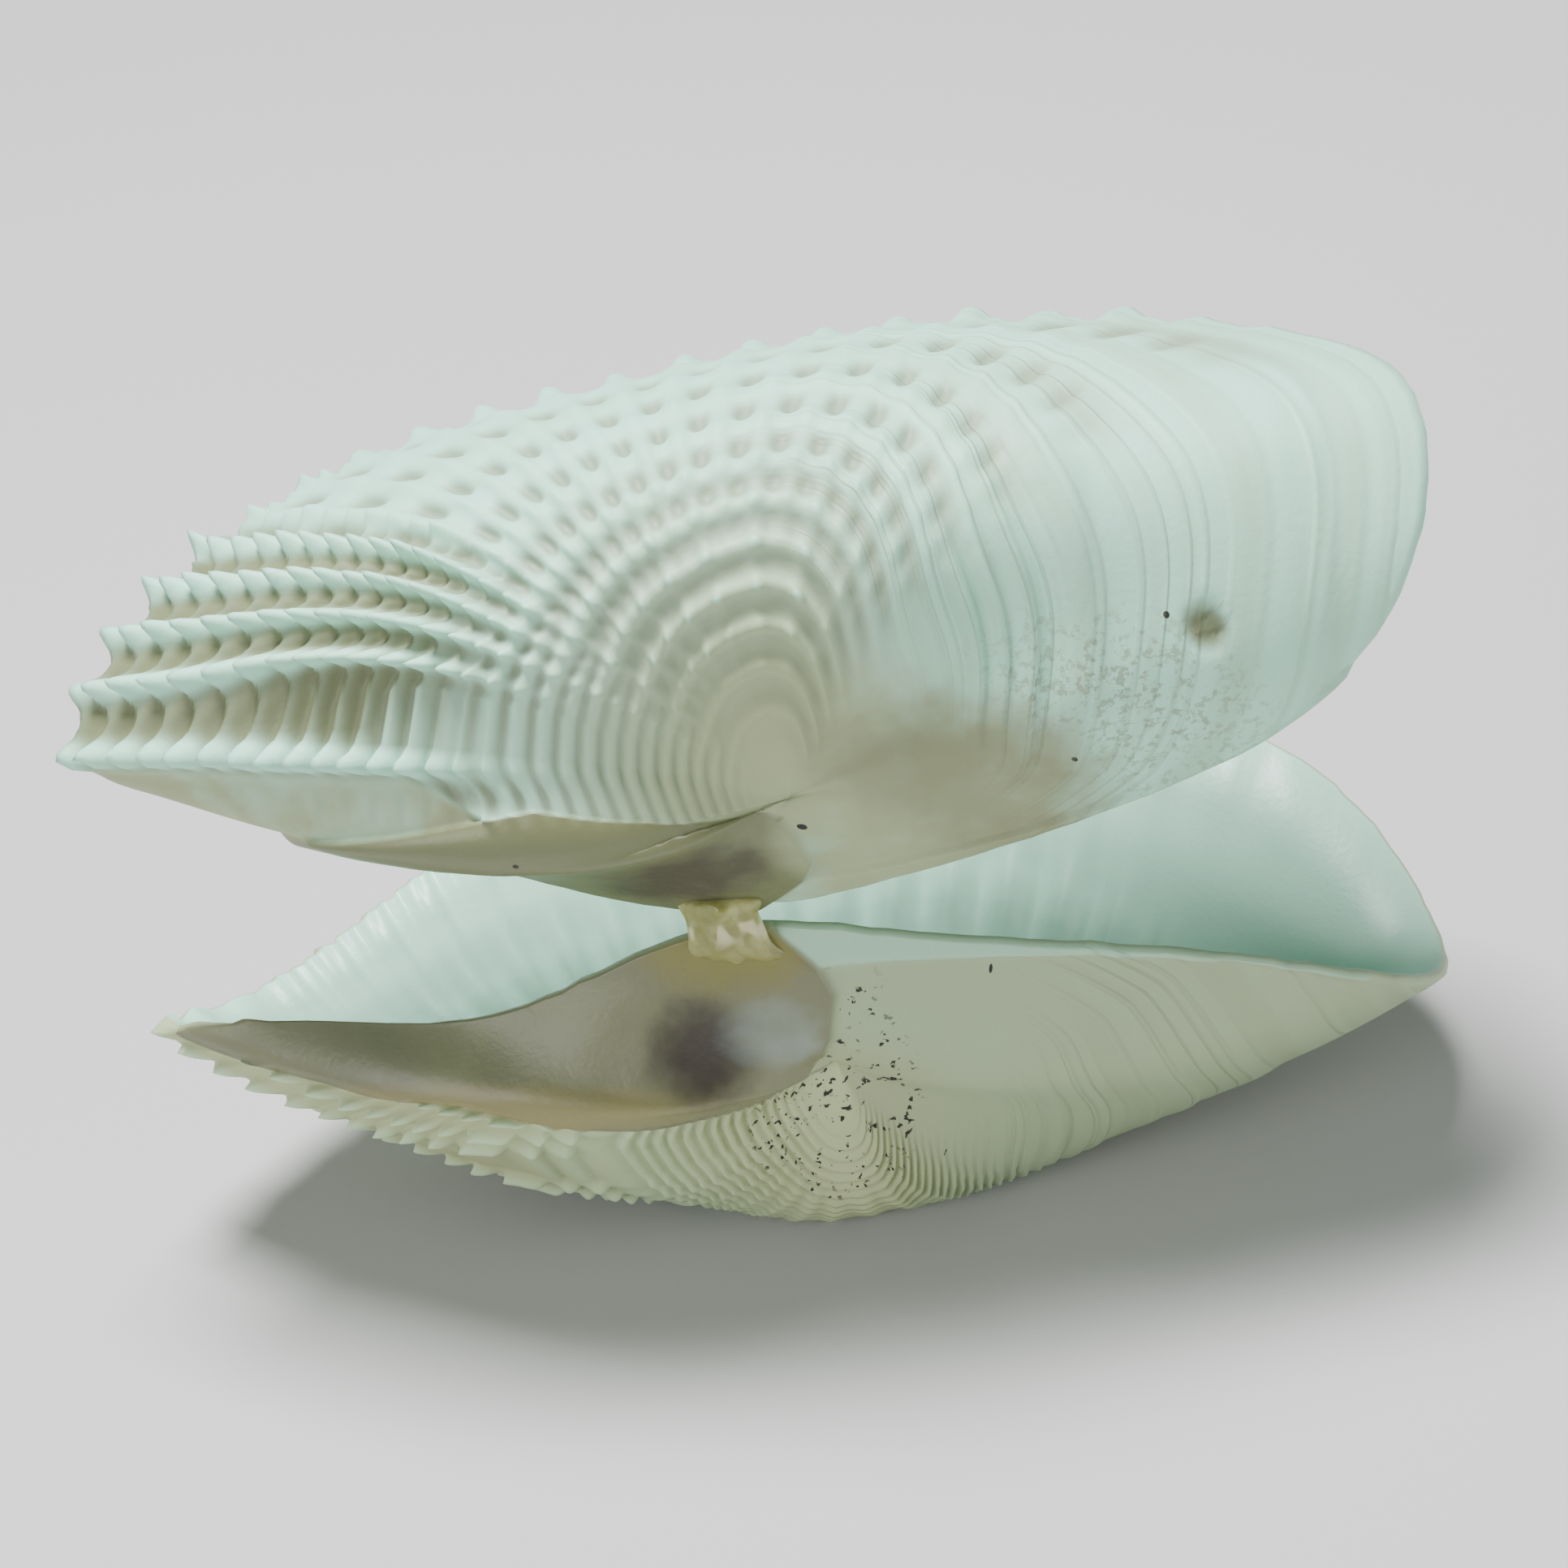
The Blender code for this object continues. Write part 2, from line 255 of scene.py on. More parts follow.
# Grid of one valve, powers that crowd its inner rings at both ends, and steps for measuring slopes
COLUMNS_PER_RIB = 13
LOBE_COLUMNS = 22
STEP_COLUMNS = 4
PLATE_COLUMNS = 30
HIND_COLUMNS = 84
OUTER_RINGS = 214
INNER_RINGS = 38
INNER_RING_POWERS = (1.3, 1.6)
RIB_SEARCH_STEPS = 2000
REACH_STEP = 0.004
PLACE_STEP = 0.02

# Dried tissue, mm about the middle of the hinge gap: half sizes at the waist, how they flare, how it leans
TISSUE_ROWS = 96
TISSUE_COLUMNS = 128
TISSUE_ABOVE = 1.6
TISSUE_BELOW = 2.3
TISSUE_CLOSING = 8
TISSUE_TIP = 0.0004
TISSUE_WIDTH = 1.40
TISSUE_WIDTH_FLARES = (0.55, 1.1)
TISSUE_DEPTH = 0.62
TISSUE_DEPTH_FLARE = 0.30
TISSUE_DEPTH_LOSS = 0.25
TISSUE_AHEAD = -0.55
TISSUE_LEAN = 0.42
TISSUE_LEANS = (0.15, -0.35)
TISSUE_FOOT = 1.3
TISSUE_SIDEWAYS = 0.55
PLEATS = ((0.06, 7.0, 1.5, 0.0), (0.05, 13.0, 0.0, 3.0))
FOLD_HEIGHT = 0.26
FOLD_STRETCH = np.array((1.3, 1.0, 0.7))
FOLD_LENGTH = 1.1
FOLD_SEED = 91
FOLD_RELIEF = 0.35

# Camera, from the photograph's perspective: angles about the hinge and where the hinge stands in the view
VIEW_ELEVATION = math.radians(35.0)
VIEW_YAW = math.radians(9.5)
VIEW_ROLL = math.radians(1.2)
VIEW_DISTANCE = 174.8
HINGE_IN_VIEW = (-2.15, -5.5)
VIEW_SCALE = 32.2
PHOTO_WIDTH = 1932
SENSOR = 36.0

# Square lights: name, place and side in metres, and watts; the point they are turned to; the sky
LIGHTS = (
    ("key", (-0.04, 0.02, 0.34), 0.10, 3.3),
    ("fill", (-0.22, -0.30, 0.16), 0.20, 0.85),
    ("side", (0.30, -0.10, 0.07), 0.16, 0.45),
)
LIT_POINT = (0.0, 0.0, 0.018)
SKY_STRENGTH = 0.22


def smoothstep(low, high, value):
    """0 below low, 1 above high, and a smooth S between them."""
    t = np.clip((value - low) / (high - low), 0.0, 1.0)
    return t * t * (3.0 - 2.0 * t)


def blend(first, second, share):
    """first where share is 0, second where it is 1."""
    return first + (second - first) * share


def cosine(turns):
    """Wave from 0 to 1 that is 1 at whole turns."""
    return 0.5 + 0.5 * np.cos(2.0 * math.pi * turns)


def edge_curve(place):
    """Closed cubic spline through EDGE_POINTS: straight blend of two points plus their second bends."""
    gaps = np.linalg.norm((np.roll(EDGE_POINTS, -1, 0) - EDGE_POINTS)[:, :3], axis=1)
    before = np.roll(gaps, 1)
    rows = np.arange(ROUND)
    matrix = np.zeros((ROUND, ROUND))
    matrix[rows, rows] = 2.0 * (before + gaps)
    matrix[rows, rows - 1] = before
    matrix[rows, (rows + 1) % ROUND] = gaps
    slopes = (np.roll(EDGE_POINTS, -1, 0) - EDGE_POINTS) / gaps[:, None]
    bends = np.linalg.solve(matrix, 6.0 * (slopes - np.roll(slopes, 1, 0)))
    place = np.mod(place, ROUND)
    k = np.floor(place).astype(int) % ROUND
    nxt = (k + 1) % ROUND
    after = (place - np.floor(place))[..., None]
    here = 1.0 - after
    span = gaps[k][..., None] ** 2 / 6.0
    curve = here * EDGE_POINTS[k] + after * EDGE_POINTS[nxt]
    return curve + span * ((here ** 3 - here) * bends[k] + (after ** 3 - after) * bends[nxt])


def arc_lengths():
    """Places and lengths along the edge, mm, at close steps from the hinge once round."""
    places = np.linspace(0.0, ROUND, EDGE_STEPS + 1)
    steps = np.linalg.norm(np.diff(edge_curve(places)[:, :3], axis=0), axis=1)
    return places, np.concatenate(([0.0], np.cumsum(steps)))


ARC_PLACES, ARC_LENGTHS = arc_lengths()
RIB_START_LENGTH, RIB_END_LENGTH = np.interp((RIB_ZONE_START, RIB_ZONE_END), ARC_PLACES, ARC_LENGTHS)


def rib_line(growth, place):
    """Rib count along the curved ribs: whole numbers run along rib crests, 0 at the front tip.

    Ribs stand closer in front; those beside the strong ones sweep forward as they near the edge.
    """
    here = np.interp(np.mod(place, ROUND), ARC_PLACES, ARC_LENGTHS)
    share = (RIB_END_LENGTH - here) / (RIB_END_LENGTH - RIB_START_LENGTH)
    count = RIBS * (share + RIB_CROWDING * share * (1.0 - share))
    hind, full, still, front = SWEEP_PLACES
    swept = smoothstep(hind, full, place) * (1.0 - smoothstep(still, front, place))
    return count - SWEEP * swept * (1.0 - smoothstep(*SWEEP_ENDS_OVER, growth))


def rib_wave(growth, place):
    """Rib crests 1 and furrows 0: a cosine of the rib count, every second rib missing near the beak."""
    count = rib_line(growth, place)
    return blend(cosine(0.5 * count), cosine(count), smoothstep(*SECOND_RIBS_FROM, growth))


def smooth_wall(reach, place):
    """Outer face without sculpture: lines from the beak to the edge, swollen by reach^a (1-reach)^b.

    Beside the hinge it is folded forward by a bell curve of the place times 4 reach (1-reach).
    """
    edge = edge_curve(place)
    total = SWELL_RISE + SWELL_FALL
    peak = total ** total / (SWELL_RISE ** SWELL_RISE * SWELL_FALL ** SWELL_FALL)
    points = BEAK + (edge[..., :3] - BEAK) * reach[..., None]
    points[..., 2] += edge[..., 3] * peak * reach ** SWELL_RISE * (1.0 - reach) ** SWELL_FALL
    behind = np.mod(place + ROUND / 2, ROUND) + ROUND / 2 - FOLD_PLACE
    spread = np.where(behind > 0.0, FOLD_SPREAD_HINGE, FOLD_SPREAD_FRONT)
    fold = FOLD_DEPTH * np.exp(-(behind / spread) ** 2)
    points[..., 1] -= fold * 4.0 * reach * (1.0 - reach)
    return points


def reach_at(growth, place):
    """Reach of the shell's edge along each rib when it had grown to this share of its full size."""
    across = edge_curve(place)[..., 0] - BEAK[0]
    hind = HIND_LATE_SHARE * smoothstep(0.0, HIND_REACH, across)
    front = FRONT_LATE_SHARE * smoothstep(0.0, FRONT_REACH, -across)
    late = hind * (growth - growth ** HIND_LATE_POWER) + front * (growth - growth ** FRONT_LATE_POWER)
    return growth - late


def wall_axes(reach, place):
    """Unit normal of the smooth outer face, and unit way along it to the edge, from close steps."""
    low = np.clip(reach - REACH_STEP, 0.5 * REACH_STEP, 1.0)
    high = np.clip(reach + REACH_STEP, 0.0, 1.0)
    along = smooth_wall(reach, place + PLACE_STEP) - smooth_wall(reach, place - PLACE_STEP)
    away = smooth_wall(high, place) - smooth_wall(low, place)
    normal = np.cross(away, along)
    normal = normal / np.linalg.norm(normal, axis=-1, keepdims=True)
    return normal, away / np.linalg.norm(away, axis=-1, keepdims=True)


def soft_noise(points, scale, seed):
    """Smooth noise of about -1 to 1: a sum of sine waves in random directions, about scale mm long."""
    waves = 18
    high_sum = 5.0
    rng = np.random.default_rng(seed)
    ways = rng.normal(size=(waves, points.shape[-1]))
    ways /= np.linalg.norm(ways, axis=1, keepdims=True)
    lengths = scale * rng.uniform(0.6, 1.7, waves)
    phases = rng.uniform(0.0, 2.0 * math.pi, waves)
    total = np.zeros(points.shape[:-1])
    for way, length, phase in zip(ways, lengths, phases):
        total += np.sin(2.0 * math.pi * (points @ way) / length + phase)
    return total / high_sum


def scale_step(phase):
    """Profile of one scale or ridge: a slow rise towards the edge side, then a short steep drop."""
    t = phase - np.floor(phase)
    risen, drops = 0.80, 0.84
    return smoothstep(0.0, risen, t) * (1.0 - smoothstep(drops, 1.0, t))


def plate_borders(growth, valve):
    """Four places at this growth: start and end of the hinge plate's front step and of its hind step."""
    front = np.interp(growth, *valve.plate)
    hind = np.interp(growth, *PLATE_HIND)
    shortest, gained = PLATE_LENGTHS
    step = PLATE_STEP / (gained * growth + shortest)
    return front, front + step, hind - np.minimum(PLATE_SOFTER * step, 0.5 * (hind - front)), hind


def zones(growth, place, valve):
    """Shares 0 to 1 of the ribbed part, the strong front ribs, the hinge plate and the hind ledge."""
    count = rib_line(growth, place)
    young = 1.0 - smoothstep(*YOUNG_LOBE_UNTIL, growth)
    lobe = LOBE_RIB - YOUNG_LOBE_RIBS * young - LOWER_LOBE_RIBS * valve.fine
    ribbed = smoothstep(*RIB_ZONE_FADE, place) * smoothstep(lobe - LOBE_RIB_FADE, lobe, count)
    strong = (1.0 - smoothstep(*STRONG_RIBS_TO, count)) * smoothstep(*STRONG_RIBS_FROM, growth)
    start, start_flat, end_flat, end = plate_borders(growth, valve)
    along = np.where(place < RIB_ZONE_START, place + ROUND, place)
    plate = smoothstep(start, start_flat, along) * (1.0 - smoothstep(end_flat, end, along))
    plate = plate * smoothstep(*PLATE_FROM, growth)
    length = np.linalg.norm(edge_curve(place)[..., :3] - BEAK, axis=-1)
    width = LEDGE_WIDTH * np.exp(-np.maximum(place - LEDGE_WIDEST, 0.0) / LEDGE_TAPER)
    from_edge = (1.0 - reach_at(growth, place)) * length / width
    ledge = (1.0 - smoothstep(*LEDGE_STEP, from_edge)) * smoothstep(*LEDGE_BEGINS, place)
    ledge = ledge * (place < LEDGE_ENDS) * (1.0 - plate)
    return ribbed, ribbed * strong, plate, ledge


def growth_age(growth, place):
    """How grown the shell was when its edge lay here: on the hinge side old edges run out at an angle."""
    near_hinge = np.clip(1.0 - place / HINGE_AGE_PLACES, 0.0, 1.0)
    return growth * (1.0 - HINGE_AGE_LAG * near_hinge ** 2)


def ring_phase(growth):
    """Count of the cords from the beak: an even count plus a tanh, so that young cords stand closer."""
    return LATE_RIDGES * growth + EARLY_RIDGES * np.tanh(growth / EARLY_UNTIL)


def cord_wave(growth, count, wobble):
    """Cords 1 and furrows 0, a skewed cosine of the ring phase, and the share of cords doubled in front."""
    phase = ring_phase(growth) + wobble
    cord = cosine(phase + CORD_SKEW * np.sin(2.0 * math.pi * phase))
    doubled = 1.0 - smoothstep(*DOUBLED_TO_RIB, count)
    return blend(cord, cosine(2.0 * phase), doubled), doubled


def fine_steps(growth, count, wobble, valve):
    """Profile of the scales on the front ribs and, on the finely ridged valve, of lamellae elsewhere."""
    scales = SCALES * growth + SCALE_WOBBLE * wobble
    lamellae = LAMELLAE * growth ** LAMELLA_POWER + LAMELLA_WOBBLE * wobble
    scaly = smoothstep(*STRONG_RIBS_FROM, growth) * (1.0 - smoothstep(*LAMELLAE_FROM_RIB, count))
    return scale_step(blend(scales, lamellae, valve.fine * (1.0 - scaly)))


def lined_share(place, smooth):
    """Share 0 to 1 of crisp growth lines: on the hind part, fading out over the worn slope at the hinge."""
    hind = smoothstep(*LINED_FROM, smooth[..., 0] + smooth[..., 1] - LINED_OFFSET)
    return hind * (1.0 - smoothstep(*LINED_TO_PLACE, place))


def growth_lines(growth, place, smooth, valve):
    """Height of the growth lines, mm: noise along the age of the shell, and a step at every halt."""
    age = growth_age(growth, place) * AGE_STEPS
    spot = np.stack((growth * LINE_DRIFT_RINGS, place), -1)
    drift = LINE_DRIFT * soft_noise(spot, LINE_DRIFT_SPREAD, valve.seed + 2)
    age = age + drift + AGE_DRIFT * soft_noise(age[..., None], AGE_DRIFT_SPREAD, valve.seed + 9)
    lines = np.zeros_like(age)
    for tall, apart, seed in GROWTH_LINES:
        lines += tall * soft_noise(age[..., None], apart, valve.seed + seed)
    return (lines + HALT_HEIGHT * scale_step(age * HALTS / AGE_STEPS)) * lined_share(place, smooth)


def sculpture(growth, place, smooth, valve):
    """Height over the smooth outer face, lean towards the edge, both mm, and how deep in a pit, 0 to 1.

    Cords of growth are rounded, and ribs are a cosine along the edge. The furrows between cords are filled
    where ribs cross, which leaves pits, and beads stand on the crossings. On the front ribs each ridge is a
    tall pointed scale. The hind part has only uneven growth lines; the hinge plate is smooth. valve.fine is
    how far the cords of the middle turn into lamellae, which stand closer.
    """
    ribbed, front, plate, ledge = zones(growth, place, valve)
    count = rib_line(growth, place)
    wave = rib_wave(growth, place)
    grown = smoothstep(*GROWN_OVER, growth)
    beaded = ribbed * smoothstep(*BEADS_FROM, growth)
    spot = np.stack((growth * NOISE_RINGS, count), -1)
    size = 1.0 + BEAD_UNEVEN * soft_noise(spot, BEAD_SPREAD, valve.seed + 1)
    wobble = RING_WOBBLE * soft_noise(spot, WOBBLE_SPREAD, valve.seed) * ribbed
    wobble = (wobble - blend(*RING_SAG, front) * wave) * smoothstep(*WOBBLE_FROM, growth)
    fine = fine_steps(growth, count, wobble, valve)
    cord, doubled = cord_wave(growth, count, wobble)
    furrow = (1.0 - cord) ** blend(*FURROW_POWER, grown)
    filled = beaded * blend(*FURROW_FILLED, grown) * (1.0 - (1.0 - wave) ** blend(*FILL_POWER, grown))
    open_furrow = furrow * (1.0 - filled)
    cords = CORD_HEIGHT * (blend(YOUNG_CORDS, 1.0, grown) - DOUBLED_CORDS_LESS * doubled)
    cords = cords * (1.0 - open_furrow)
    cords += beaded * wave * (BEAD_HEIGHT * cord * wave * size + RIB_HEIGHT * grown)
    lamellae = LAMELLA_HEIGHT * fine + beaded * wave * blend(*LAMELLA_RIB_HEIGHT, fine)
    cords = blend(cords, lamellae, valve.fine * (1.0 - smoothstep(*LAMELLAE_FADE, growth)))
    crest = wave ** blend(*CREST_POWER, fine)
    scales = RUNG_HEIGHT * fine + size * crest * (FRONT_RIB_HEIGHT + SCALE_HEIGHT * fine)
    scales = scales - GAP_DEPTH * (1.0 - wave) ** 2 * (1.0 - fine)
    cords = blend(cords, scales * blend(1.0, LOWER_SCALES, valve.fine), front)
    plain = growth_lines(growth, place, smooth, valve)
    plain = plain * blend(1.0, LOWER_LINES, valve.fine) * blend(1.0, LEDGE_LINES, ledge)
    plain = plain + LEDGE_HEIGHT * ledge
    near = smoothstep(*BEAK_SMOOTH_TO, growth)
    corded = np.where(place > FRONT_HALF, ribbed, smoothstep(*CORDS_FADE, place))
    flat = PLATE_HEIGHT * smoothstep(*PLATE_RISE, growth)
    flat = flat + PLATE_UNEVEN * soft_noise(smooth, PLATE_UNEVEN_SPREAD, valve.seed + 5)
    height = blend(near * blend(plain, cords, corded), flat, plate)
    scale_lean = crest * fine ** 3 * SCALE_LEAN * blend(1.0, LOWER_SCALE_LEAN, valve.fine)
    lean = blend(cord * wave * CORD_LEAN, scale_lean, front)
    pit = blend(open_furrow, (1.0 - wave) * (1.0 - RUNG_PITS * fine), front)
    pit = blend(pit, (1.0 - fine) * (1.0 - FINE_PITS * wave), valve.fine * (1.0 - front))
    bare = near * corded * (1.0 - plate)
    return height, lean * bare, pit * bare


def edge_spines(growth, place, valve, normal, away):
    """Shift of the last ridge, mm: spines where ribs end, cosine teeth flaring outwards, uneven by noise.

    Between the ends of the middle ribs stand small second teeth, and beside the strong ribs three to a rib.
    """
    ones = np.ones_like(place)
    ribbed = zones(ones, place, valve)[0]
    count = rib_line(ones, place)
    uneven = 1.0 + SPINES_UNEVEN * soft_noise(count[..., None], SPINES_SPREAD, valve.seed + 6)
    strong = smoothstep(*FRONT_SPINES_FROM, place)
    close = smoothstep(*CLOSE_SPINES_FROM, count) * (1.0 - smoothstep(*CLOSE_SPINES_TO, count))
    teeth = blend(*SPINE_LENGTH, strong) * cosine(count) ** SPINE_POWER
    second = cosine(2.0 * count + SECOND_SPINE_SHIFT) ** SECOND_SPINE_POWER
    teeth = teeth + SECOND_SPINE_LENGTH * (1.0 - strong) * second
    third = CLOSE_SPINE_LENGTH * cosine(3.0 * count) ** 2
    teeth = ribbed * uneven * (teeth + close * (third - 0.5 * teeth))
    chips = CHIP_DEPTH * soft_noise(count[..., None], CHIP_SPREAD, valve.seed + 7)
    tip = smoothstep(*TIP_PLACES, place)
    way = away * blend(*SPINES_FORWARD, tip)[..., None] + normal * blend(*SPINES_OUTWARD, tip)[..., None]
    last = smoothstep(1.0 - SPINE_RIDGE / LATE_RIDGES, 1.0, growth)
    return (way * teeth[..., None] + away * chips[..., None]) * last[..., None]


def outer_face(growth, place, valve):
    """Smooth wall, lifted along its normal by the sculpture and leaned towards the edge; and its shares.

    On the worn valve a bell-shaped hollow with a rough floor is sunk at PIT_PLACE.
    """
    reach = reach_at(growth, place)
    smooth = smooth_wall(reach, place)
    height, lean, pit = sculpture(growth, place, smooth, valve)
    far = np.hypot(smooth[..., 0] - PIT_PLACE[0], smooth[..., 1] - PIT_PLACE[1]) / PIT_RADIUS
    sunk = valve.worn * np.exp(-far ** 4)
    height = height - sunk * PIT_DEPTH * (1.0 + PIT_ROUGH * soft_noise(smooth, PIT_GRAIN, valve.seed + 12))
    normal, away = wall_axes(reach, place)
    points = smooth + normal * height[..., None] + away * lean[..., None]
    return points + edge_spines(growth, place, valve, normal, away), height, pit, lined_share(place, smooth)


def inner_face(growth, place, valve):
    """Wall moved inwards by its thickness, with the outside's ribs, pits and growth halts showing softly.

    The first ring is the middle of the rim: half as deep and moved outwards, which rounds the edge.
    """
    reach = reach_at(growth, place)
    ribbed, front, _, _ = zones(growth, place, valve)
    thickness = blend(WALL, EDGE_WALL, smoothstep(*THICK_TO_EDGE, growth))
    ribbed_side = smoothstep(*RIBBED_SIDE_FROM, place) * (1.0 - smoothstep(*RIBBED_SIDE_TO, place))
    near_beak = BEAK_WALL + growth * blend(*WALL_GAIN, ribbed_side) + WALL_GAIN_SQUARE * growth ** 2
    thickness = np.minimum(thickness, near_beak)
    ribs = INNER_RIB_DEPTH * ribbed * np.cos(2.0 * math.pi * rib_line(growth, place))
    ribs = ribs * smoothstep(*INNER_RIBS_FROM, growth) * blend(*INNER_RIB_SHARE, front)
    ribs = ribs * blend(*DIMPLES, cosine(ring_phase(growth)))
    age = growth_age(growth, place) * AGE_STEPS
    age = age + INNER_AGE_DRIFT * soft_noise(age[..., None], INNER_AGE_SPREAD, valve.seed + 10)
    halts = INNER_HALT_DEPTH * (0.5 + 0.5 * np.sin(2.0 * math.pi * age / INNER_HALT_SPACING))
    halts = halts * smoothstep(*BOWL_FROM, place) * (1.0 - smoothstep(*BOWL_TO, place))
    later = INNER_HALTS_LATER * smoothstep(*INNER_HALTS_LATER_FROM, place)
    halts = halts * smoothstep(*INNER_HALTS_FROM, growth)
    halts = halts * (1.0 - smoothstep(*INNER_HALTS_TO, growth - later))
    depth = np.maximum(thickness + ribs + halts, np.minimum(thickness, THINNEST_WALL))
    normal, away = wall_axes(reach, place)
    rim = np.zeros_like(depth)
    rim[0] = 1.0
    shift = away * (RIM_ROUND * rim)[..., None] - normal * (depth * (1.0 - 0.5 * rim))[..., None]
    return smooth_wall(reach, place) + shift + edge_spines(growth, place, valve, normal, away)


def evenly(start, end, count):
    """Places spaced evenly in mm along the edge between two places, without the last."""
    lengths = np.concatenate((ARC_LENGTHS, ARC_LENGTHS[-1] + ARC_LENGTHS[1:]))
    places = np.concatenate((ARC_PLACES, ROUND + ARC_PLACES[1:]))
    first, last = np.interp((start, end), places, lengths)
    return np.interp(np.linspace(first, last, count, endpoint=False), lengths, places)


def column_places(growth, valve):
    """Places of the grid's columns at one growth: they follow the curved ribs and the plate's borders."""
    close = np.linspace(RIB_ZONE_START, RIB_ZONE_END, RIB_SEARCH_STEPS + 1)
    wanted = np.linspace(RIBS, 0.0, COLUMNS_PER_RIB * RIBS, endpoint=False)
    ribs = np.interp(-wanted, -rib_line(growth, close), close)
    start, start_flat, end_flat, end = plate_borders(growth, valve)
    parts = (
        ribs,
        evenly(RIB_ZONE_END, start, LOBE_COLUMNS),
        evenly(start, start_flat, STEP_COLUMNS),
        evenly(start_flat, end_flat, PLATE_COLUMNS),
        evenly(end_flat, end, 2 * STEP_COLUMNS),
        evenly(end, RIB_ZONE_START + ROUND, HIND_COLUMNS),
    )
    return np.mod(np.concatenate(parts), ROUND)


def grid(growths, valve):
    """Growth and place of every crossing of the rings at these growths with the columns."""
    places = np.array([column_places(growth, valve) for growth in growths])
    return np.repeat(growths[:, None], places.shape[1], axis=1), places


def lower_frame(points):
    """Valve frame to world, for the valve that lies on its belly: turned about the hinge by LOWER_TILT."""
    c, s = math.cos(LOWER_TILT), math.sin(LOWER_TILT)
    x, v, w = points[..., 0], points[..., 1], points[..., 2]
    y = v * c + w * s + HINGE_SHIFT[1]
    z = v * s - w * c + HINGE_HEIGHT
    return np.stack((x + HINGE_SHIFT[0], y, z), -1)


def upper_frame(points):
    """Valve frame to world, for the valve that stands open: turned on about the hinge by OPENING."""
    c, s = math.cos(LOWER_TILT + OPENING), math.sin(LOWER_TILT + OPENING)
    x, v, w = points[..., 0], points[..., 1], points[..., 2]
    y = v * c - w * s + HINGE_SHIFT[1]
    z = v * s + w * c + HINGE_HEIGHT + HINGE_GAP
    return np.stack((x + HINGE_SHIFT[0], y, z), -1)


def grid_mesh(name, rings, north, south, flip, attributes):
    """Closed mesh from rings of points: quads between neighbours, and a fan of triangles at each pole."""
    count, columns = rings.shape[:2]
    points = np.concatenate((north[None], rings.reshape(-1, 3), south[None])) * MM
    r, c = np.meshgrid(np.arange(count - 1), np.arange(columns), indexing="ij")
    a = 1 + r * columns + c
    b = 1 + r * columns + (c + 1) % columns
    quads = np.stack((a, b, b + columns, a + columns), -1).reshape(-1, 4)
    here = np.arange(columns)
    nxt = (here + 1) % columns
    last = 1 + (count - 1) * columns
    top = np.stack((np.zeros_like(here), 1 + nxt, 1 + here), -1)
    bottom = np.stack((np.full_like(here, len(points) - 1), last + here, last + nxt), -1)
    if flip:
        quads, top, bottom = quads[:, ::-1], top[:, ::-1], bottom[:, ::-1]
    mesh = bpy.data.meshes.new(name)
    loops = np.concatenate((quads.ravel(), top.ravel(), bottom.ravel())).astype(np.int32)
    sizes = np.concatenate((np.full(len(quads), 4), np.full(2 * columns, 3)))
    starts = np.concatenate(([0], np.cumsum(sizes)[:-1])).astype(np.int32)
    mesh.vertices.add(len(points))
    mesh.vertices.foreach_set("co", points.ravel())
    mesh.loops.add(len(loops))
    mesh.loops.foreach_set("vertex_index", loops)
    mesh.polygons.add(len(sizes))
    mesh.polygons.foreach_set("loop_start", starts)
    mesh.update(calc_edges=True)
    mesh.shade_smooth()
    for key, values in attributes.items():
        flat = np.concatenate(([values[0].mean()], values.ravel(), [values[-1].mean()])).astype(np.float32)
        mesh.attributes.new(key, "FLOAT", "POINT").data.foreach_set("value", flat)
    thing = bpy.data.objects.new(name, mesh)
    bpy.context.scene.collection.objects.link(thing)
    return thing


Valve = namedtuple("Valve", "name node to_world flip seed fine worn plate")
LOWER = Valve("left_valve_shell", "left_valve", lower_frame, True, 11, 1.0, 0.0, LOWER_PLATE)
UPPER = Valve("right_valve_shell", "right_valve", upper_frame, False, 47, 0.0, 1.0, UPPER_PLATE)


def make_valve(valve):
    """One valve: outer rings from the beak to the edge, then inner rings from the edge back to the beak."""
    outer_grid = grid(np.linspace(0.0, 1.0, OUTER_RINGS + 1)[1:], valve)
    inwards = np.linspace(0.0, 1.0, INNER_RINGS, endpoint=False)
    edge_power, beak_power = INNER_RING_POWERS
    inner_growths = 0.5 * (1.0 - inwards ** edge_power) + 0.5 * (1.0 - inwards) ** beak_power
    inner_grid = grid(np.concatenate(([1.0], inner_growths)), valve)
    outer, height, pit, lined = outer_face(*outer_grid, valve)
    inner = inner_face(*inner_grid, valve)
    points = np.concatenate((outer, inner))
    rings = valve.to_world(points)
    rings[..., 2] = np.maximum(rings[..., 2], 0.0)
    ribbed, front, plate, ledge = zones(*outer_grid, valve)
    blank = np.zeros_like(inner_grid[0])
    within = np.ones_like(blank)
    within[0] = 0.0
    attributes = {
        "growth": np.concatenate((outer_grid[0], inner_grid[0])),
        "age": np.concatenate((growth_age(*outer_grid), growth_age(*inner_grid))),
        "height": np.concatenate((height, blank)),
        "pit": np.concatenate((pit, blank)),
        "front": np.concatenate((front, blank)),
        "plate": np.concatenate((plate, blank)),
        "ledge": np.concatenate((ledge, blank)),
        "ribbed": np.concatenate((ribbed, blank)),
        "lined": np.concatenate((lined, blank)),
        "inside": np.concatenate((np.zeros_like(height), within)),
        "side": points[..., 0],
        "across": points[..., 1],
        "out": points[..., 2],
    }
    inner_pole = valve.to_world(BEAK - INNER_POLE_DEPTH)
    return grid_mesh(valve.name, rings, rings[0].mean(0), inner_pole, valve.flip, attributes)


